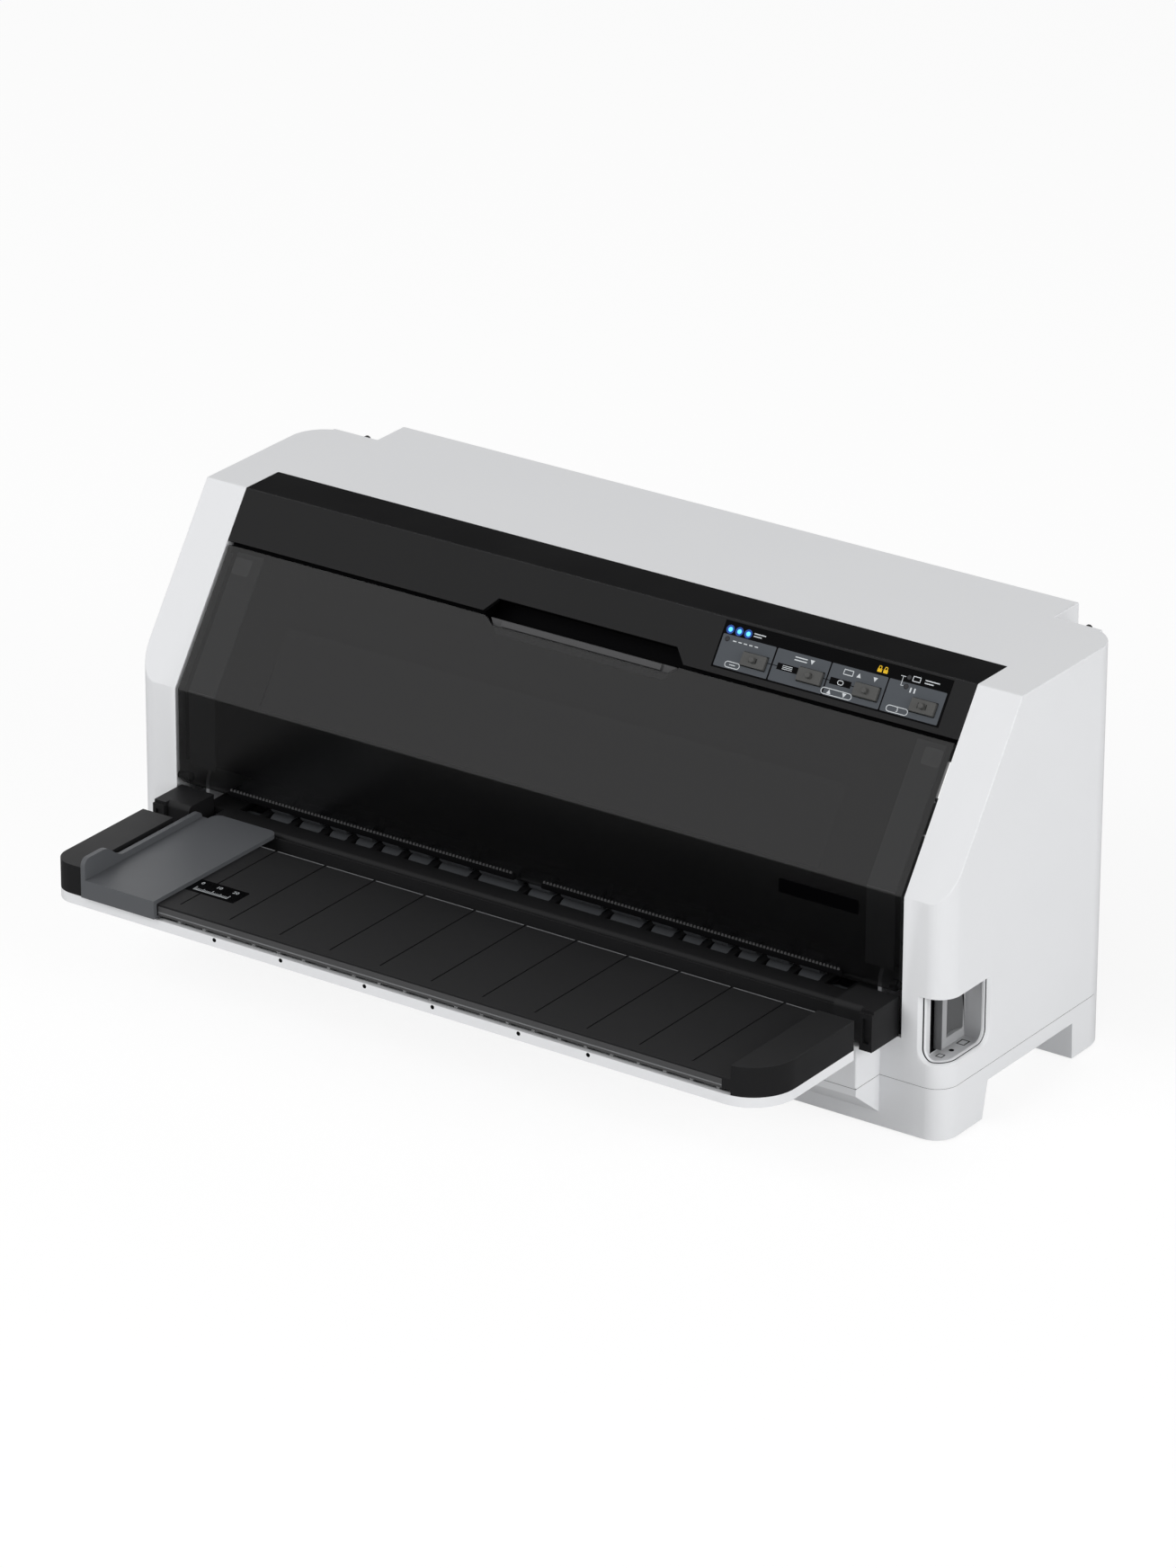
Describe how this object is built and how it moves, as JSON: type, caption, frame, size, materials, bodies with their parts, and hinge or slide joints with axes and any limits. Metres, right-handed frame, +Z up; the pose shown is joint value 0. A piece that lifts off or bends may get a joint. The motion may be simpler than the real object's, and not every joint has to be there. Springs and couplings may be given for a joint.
{
  "type": "dot matrix printer",
  "caption": "Flatbed dot matrix printer with a flat sheet table, hinged smoked front cover, impact print mechanism and rear tractor feed.",
  "frame": {"origin": "centre of the overall box at the resting surface", "axes": "+X to the operator's right, +Y from the sheet table to the rear, +Z up from the desk"},
  "size_m": [0.48, 0.37, 0.21],
  "materials": {
    "case_white": "fine-textured moulded light grey plastic",
    "case_black": "smooth moulded black plastic",
    "black_plastic": "fine-textured moulded black plastic",
    "smoked_cover": "smoked glossy plastic",
    "guide_grey": "satin dark grey plastic",
    "plate_grey": "satin printed overlay",
    "button_grey": "satin dark plastic",
    "lens_blue": "clear tinted lens",
    "rubber_black": "ground rubber",
    "roller_grey": "ground grey rubber",
    "steel": "ground steel",
    "zinc_sheet": "zinc-plated pressed sheet",
    "motor_black": "black stoved paint",
    "brass_gear": "turned brass",
    "gear_white": "natural acetal",
    "board_green": "solder-masked board with parts",
    "lever_grey": "satin grey plastic",
    "tractor_blue": "satin dark blue plastic"
  },
  "bodies": {
    "case": {"lower_case": "case_white", "upper_case": "case_white", "top_panel": "case_black", "control_plate": "plate_grey", "indicator_lenses": "lens_blue", "panel_board": "board_green", "rubber_feet": "rubber_black", "table_tray": "case_white", "sheet_table": "black_plastic", "hinge_block_left": "black_plastic", "hinge_block_right": "black_plastic", "paper_guide": "black_plastic", "lever_pocket": "case_white", "chassis_plate": "zinc_sheet", "left_side_frame": "zinc_sheet", "right_side_frame": "zinc_sheet", "carriage_shaft": "steel", "head_rail": "zinc_sheet", "carriage_motor": "motor_black", "timing_belt": "rubber_black", "feed_motor": "motor_black", "main_board": "board_green", "power_supply": "board_green", "ac_inlet": "black_plastic", "power_switch": "black_plastic", "tractor_frame": "black_plastic", "tractor_rod": "steel", "tractor_belt": "rubber_black", "case_screws": "steel"},
    "cover": {"front_cover": "smoked_cover", "cover_handle": "guide_grey"},
    "tear_off_key": {"tear_off_button": "button_grey"},
    "line_feed_key": {"line_feed_button": "button_grey"},
    "load_key": {"load_button": "button_grey"},
    "pause_key": {"pause_button": "button_grey"},
    "release": {"release_lever": "lever_grey", "release_shaft": "steel", "pinch_arms": "black_plastic"},
    "pinch_roll": {"pinch_rollers": "roller_grey"},
    "side_guide": {"edge_guide": "guide_grey"},
    "head_carriage": {"carriage": "black_plastic", "print_head": "motor_black", "ribbon_cartridge": "case_black"},
    "ribbon_wheel": {"ribbon_knob": "button_grey"},
    "drive_pulley": {"motor_pulley": "brass_gear"},
    "return_pulley": {"idler_pulley": "gear_white"},
    "platen_roll": {"platen": "rubber_black", "platen_gear": "gear_white"},
    "front_roll": {"front_feed_roller": "roller_grey"},
    "idler_gear": {"feed_idler_gear": "gear_white"},
    "pinion": {"feed_pinion": "brass_gear"},
    "mains_rocker": {"power_rocker": "button_grey"},
    "back_cover": {"rear_cover": "black_plastic"},
    "sprocket_shaft": {"tractor_shaft": "steel"},
    "tractor_l": {"left_tractor": "tractor_blue"},
    "tractor_r": {"right_tractor": "tractor_blue"},
    "sprocket_l": {"left_sprocket": "gear_white"},
    "sprocket_r": {"right_sprocket": "gear_white"},
    "door_l": {"left_tractor_door": "tractor_blue"},
    "door_r": {"right_tractor_door": "tractor_blue"}
  },
  "joints": [
    {"name": "cover_hinge", "type": "hinge", "parent": "case", "child": "cover", "pos_m": [0, -0.0725, 0.0752], "axis": [1, 0, 0], "range_deg": [0, 80]},
    {"name": "tear_off_press", "type": "slide", "parent": "case", "child": "tear_off_key", "axis": [0, 0.8221, -0.5694], "range_m": [0, 0.0015], "stiffness_N_per_m": 300, "springref_m": -0.0005},
    {"name": "line_feed_press", "type": "slide", "parent": "case", "child": "line_feed_key", "axis": [0, 0.8221, -0.5694], "range_m": [0, 0.0015], "stiffness_N_per_m": 300, "springref_m": -0.0005},
    {"name": "load_press", "type": "slide", "parent": "case", "child": "load_key", "axis": [0, 0.8221, -0.5694], "range_m": [0, 0.0015], "stiffness_N_per_m": 300, "springref_m": -0.0005},
    {"name": "pause_press", "type": "slide", "parent": "case", "child": "pause_key", "axis": [0, 0.8221, -0.5694], "range_m": [0, 0.0015], "stiffness_N_per_m": 300, "springref_m": -0.0005},
    {"name": "release_turn", "type": "hinge", "parent": "case", "child": "release", "pos_m": [0, -0.0511, 0.088], "axis": [1, 0, 0], "range_deg": [-11.5, 0]},
    {"name": "pinch_spin", "type": "hinge", "parent": "release", "child": "pinch_roll", "pos_m": [0, -0.0621, 0.0688], "axis": [1, 0, 0], "continuous": true},
    {"name": "side_guide_slide", "type": "slide", "parent": "case", "child": "side_guide", "axis": [1, 0, 0], "range_m": [0, 0.03]},
    {"name": "carriage_slide", "type": "slide", "parent": "case", "child": "head_carriage", "axis": [1, 0, 0], "range_m": [-0.035, 0.235]},
    {"name": "ribbon_wheel_turn", "type": "hinge", "parent": "head_carriage", "child": "ribbon_wheel", "pos_m": [-0.14, -0.0391, 0.12], "axis": [0, 0, 1], "continuous": true},
    {"name": "drive_pulley_turn", "type": "hinge", "parent": "case", "child": "drive_pulley", "pos_m": [-0.18, 0.0469, 0.1], "axis": [0, 0, 1], "range_deg": [-300.3, 2010.6]},
    {"name": "return_pulley_turn", "type": "hinge", "parent": "case", "child": "return_pulley", "pos_m": [0.182, 0.0469, 0.1], "axis": [0, 0, 1], "range_deg": [-300.3, 2010.6]},
    {"name": "platen_turn", "type": "hinge", "parent": "case", "child": "platen_roll", "pos_m": [0, -0.0071, 0.0527], "axis": [1, 0, 0], "continuous": true},
    {"name": "front_roll_turn", "type": "hinge", "parent": "case", "child": "front_roll", "pos_m": [0, -0.0621, 0.0571], "axis": [1, 0, 0], "continuous": true},
    {"name": "idler_gear_turn", "type": "hinge", "parent": "case", "child": "idler_gear", "pos_m": [-0.2037, -0.04003, 0.05061], "axis": [1, 0, 0], "continuous": true},
    {"name": "pinion_turn", "type": "hinge", "parent": "case", "child": "pinion", "pos_m": [-0.2037, -0.00011, 0.07878], "axis": [1, 0, 0], "continuous": true},
    {"name": "mains_switch", "type": "hinge", "parent": "case", "child": "mains_rocker", "pos_m": [0.208, 0.0735, 0.042], "axis": [1, 0, 0], "range_deg": [0, 16]},
    {"name": "back_cover_hinge", "type": "hinge", "parent": "case", "child": "back_cover", "pos_m": [0, 0.102, 0.112], "axis": [1, 0, 0], "range_deg": [0, 75]},
    {"name": "sprocket_shaft_turn", "type": "hinge", "parent": "case", "child": "sprocket_shaft", "pos_m": [0, 0.15, 0.0527], "axis": [1, 0, 0], "continuous": true},
    {"name": "tractor_l_slide", "type": "slide", "parent": "case", "child": "tractor_l", "axis": [1, 0, 0], "range_m": [0, 0.02]},
    {"name": "tractor_r_slide", "type": "slide", "parent": "case", "child": "tractor_r", "axis": [1, 0, 0], "range_m": [-0.08, 0.015]},
    {"name": "sprocket_l_turn", "type": "hinge", "parent": "tractor_l", "child": "sprocket_l", "pos_m": [-0.146, 0.15, 0.0527], "axis": [1, 0, 0], "continuous": true},
    {"name": "sprocket_r_turn", "type": "hinge", "parent": "tractor_r", "child": "sprocket_r", "pos_m": [0.108, 0.15, 0.0527], "axis": [1, 0, 0], "continuous": true},
    {"name": "door_l_turn", "type": "hinge", "parent": "tractor_l", "child": "door_l", "pos_m": [-0.1575, 0.15, 0.0651], "axis": [0, -1, 0], "range_deg": [0, 105]},
    {"name": "door_r_turn", "type": "hinge", "parent": "tractor_r", "child": "door_r", "pos_m": [0.1195, 0.15, 0.0651], "axis": [0, 1, 0], "range_deg": [0, 105]}
  ],
  "couplings": [
    {"joint": "front_roll_turn", "follows": "platen_turn", "ratio": 2},
    {"joint": "idler_gear_turn", "follows": "platen_turn", "ratio": -1.5385},
    {"joint": "pinion_turn", "follows": "platen_turn", "ratio": -2.8571},
    {"joint": "sprocket_shaft_turn", "follows": "platen_turn", "ratio": 1},
    {"joint": "sprocket_l_turn", "follows": "platen_turn", "ratio": 1},
    {"joint": "sprocket_r_turn", "follows": "platen_turn", "ratio": 1},
    {"joint": "drive_pulley_turn", "follows": "carriage_slide", "rad_per_m": 149.25},
    {"joint": "return_pulley_turn", "follows": "carriage_slide", "rad_per_m": 149.25}
  ]
}
